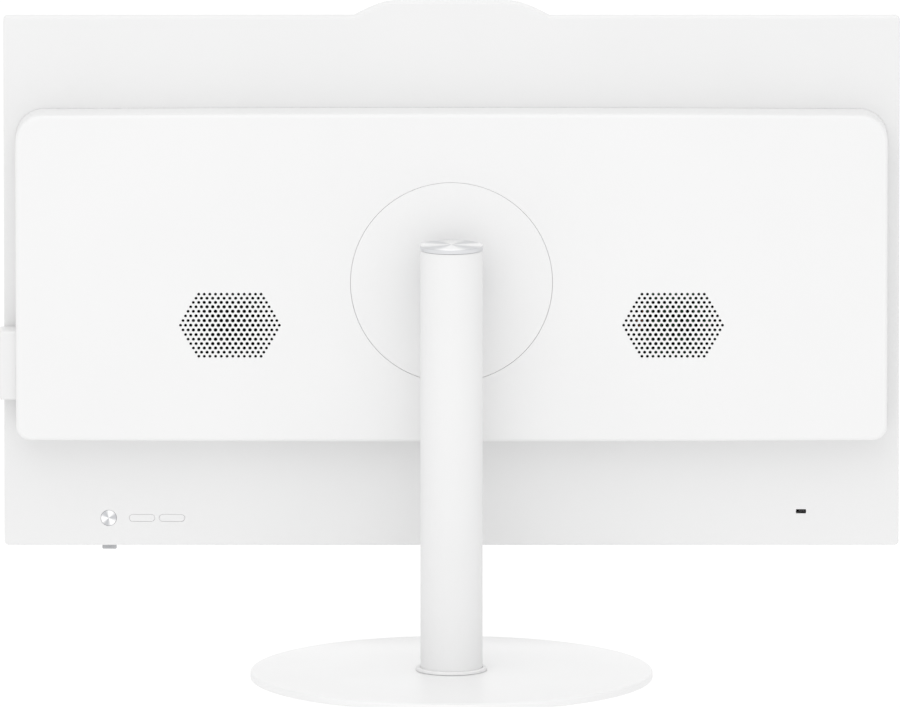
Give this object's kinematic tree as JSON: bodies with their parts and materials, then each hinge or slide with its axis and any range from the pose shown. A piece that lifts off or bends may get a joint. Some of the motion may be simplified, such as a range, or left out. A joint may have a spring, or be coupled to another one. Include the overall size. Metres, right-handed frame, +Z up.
{
  "type": "all-in-one desktop computer",
  "caption": "All-in-one desktop computer: a flat screen with the computer in its raised rear housing, which tilts on a round column over a disc base.",
  "frame": {"origin": "on the desk, at the axis of the round column", "axes": "+Z up, the screen faces -Y, +X to the right of a person looking at the screen"},
  "size_m": [0.6167, 0.2754, 0.4573],
  "materials": {
    "white_plastic": "satin moulded",
    "white_coated_steel": "satin powder coat",
    "spun_aluminium": "spun, circular brushing",
    "cast_aluminium": "as cast",
    "steel": "plated",
    "copper": "bare copper",
    "black_plastic": "moulded",
    "circuit_board": "lacquered",
    "screen_glass": "gloss black",
    "clear_acrylic": "clear",
    "grey_lens": "smoked",
    "foot_rubber": "matte"
  },
  "bodies": {
    "stand": {"base_disc": "white_coated_steel", "base_foot_ring": "foot_rubber", "base_bolt": "steel", "column_tube": "white_coated_steel", "column_collar": "white_plastic", "column_cap": "spun_aluminium", "column_foot_plug": "cast_aluminium", "neck_arm": "cast_aluminium", "neck_set_screw_1": "steel", "neck_set_screw_2": "steel", "hinge_pin": "steel", "hinge_washer_left": "copper", "hinge_washer_right": "copper"},
    "display": {"back_cover": "white_plastic", "backlight_tray": "steel", "bracket_screw_1": "steel", "bracket_screw_2": "steel", "bracket_screw_3": "steel", "bracket_screw_4": "steel", "button_board": "circuit_board", "camera_module": "black_plastic", "chassis_plate": "steel", "clock_cell": "steel", "dc_inlet": "steel", "fan_housing": "black_plastic", "front_frame": "white_plastic", "heat_pipe": "copper", "heat_sink": "cast_aluminium", "hub_cover": "white_plastic", "lcd_panel": "screen_glass", "light_guide": "clear_acrylic", "lock_slot_plate": "steel", "main_board": "circuit_board", "memory_module_1": "circuit_board", "memory_module_2": "circuit_board", "network_jack": "steel", "port_bracket": "steel", "processor_plate": "copper", "rear_housing": "white_plastic", "rear_usb_port_1": "steel", "rear_usb_port_2": "steel", "side_audio_jack": "steel", "side_port_pod": "white_plastic", "side_usb_c_port": "steel", "side_usb_port": "steel", "solid_state_drive": "black_plastic", "speaker_left": "black_plastic", "speaker_right": "black_plastic", "status_lens": "grey_lens", "tilt_bracket": "steel", "vent_grille_left": "black_plastic", "vent_grille_right": "black_plastic", "video_port": "steel", "wireless_card": "steel"},
    "power": {"power_button": "spun_aluminium"},
    "key_up": {"brightness_up_key": "white_plastic"},
    "key_down": {"brightness_down_key": "white_plastic"},
    "shutter": {"camera_shutter": "black_plastic"},
    "rotor": {"fan_rotor": "black_plastic"}
  },
  "joints": [
    {"name": "display_tilt", "type": "hinge", "parent": "stand", "child": "display", "pos_m": [0, -0.055, 0.2685], "axis": [-1, 0, 0], "range_deg": [-5, 20]},
    {"name": "power_press", "type": "slide", "parent": "display", "child": "power", "axis": [0, -1, 0], "range_m": [0, 0.0006], "stiffness_N_per_m": 1000, "springref_m": -0.0005},
    {"name": "key_up_press", "type": "slide", "parent": "display", "child": "key_up", "axis": [0, -1, 0], "range_m": [0, 0.0006], "stiffness_N_per_m": 1000, "springref_m": -0.0005},
    {"name": "key_down_press", "type": "slide", "parent": "display", "child": "key_down", "axis": [0, -1, 0], "range_m": [0, 0.0006], "stiffness_N_per_m": 1000, "springref_m": -0.0005},
    {"name": "shutter_slide", "type": "slide", "parent": "display", "child": "shutter", "axis": [1, 0, 0], "range_m": [0, 0.008]},
    {"name": "rotor_spin", "type": "hinge", "parent": "display", "child": "rotor", "pos_m": [0.1517, -0.0663, 0.2389], "axis": [0, 1, 0], "continuous": true}
  ]
}
